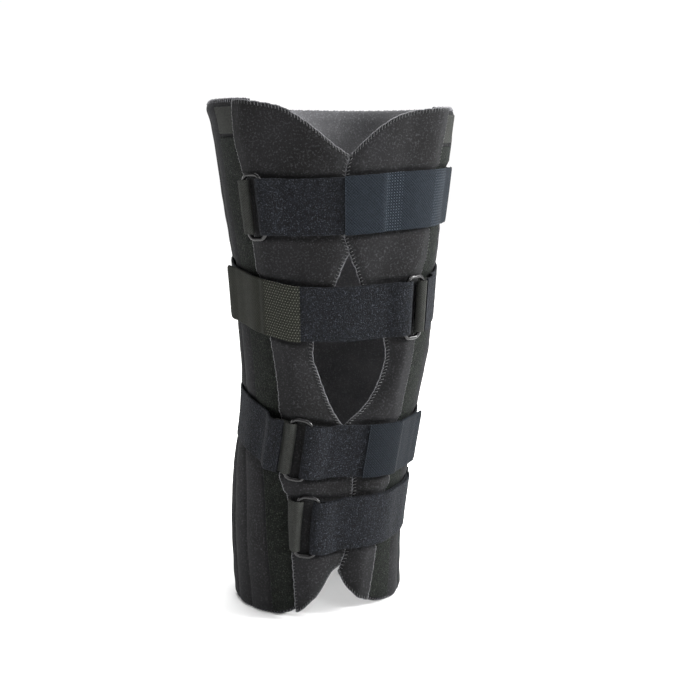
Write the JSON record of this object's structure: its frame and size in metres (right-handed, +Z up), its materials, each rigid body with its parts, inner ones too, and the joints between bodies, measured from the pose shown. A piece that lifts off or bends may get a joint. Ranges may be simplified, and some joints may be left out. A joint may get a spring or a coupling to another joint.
{
  "type": "knee immobilizer",
  "caption": "Foam knee immobilizer in the form it takes on a leg: a ribbed back panel, front wings with a kneecap window, and hook straps doubled back through plastic rings.",
  "frame": {"origin": "centre of the footprint of the whole, on the plane of the hem it stands on", "axes": "+Z up along the leg from calf to thigh, -Y the front with the kneecap window, +X the side on the viewer's right in front"},
  "size_m": [0.1798, 0.1752, 0.3697],
  "materials": {
    "panel_cloth": "matte napped cloth bonded to foam",
    "side_pile": "dark loop pile",
    "strap_pile": "loop pile webbing",
    "hook_webbing": "woven hook webbing",
    "smooth_webbing": "smooth woven webbing",
    "ring_plastic": "black gloss"
  },
  "bodies": {
    "root": {"back_panel": "panel_cloth", "front_panel_left": "panel_cloth", "front_panel_right": "panel_cloth", "side_strip_left": "side_pile", "side_strip_right": "side_pile", "stay_tab_left": "smooth_webbing", "stay_tab_right": "smooth_webbing", "strap_1": "strap_pile", "hook_tab_1": "hook_webbing", "keeper_1": "smooth_webbing", "ring_1": "ring_plastic", "strap_2": "strap_pile", "hook_tab_2": "hook_webbing", "keeper_2": "smooth_webbing", "ring_2": "ring_plastic", "strap_3": "strap_pile", "hook_tab_3": "hook_webbing", "keeper_3": "smooth_webbing", "ring_3": "ring_plastic", "strap_4": "strap_pile", "hook_tab_4": "hook_webbing", "keeper_4": "smooth_webbing", "ring_4": "ring_plastic"}
  },
  "joints": []
}
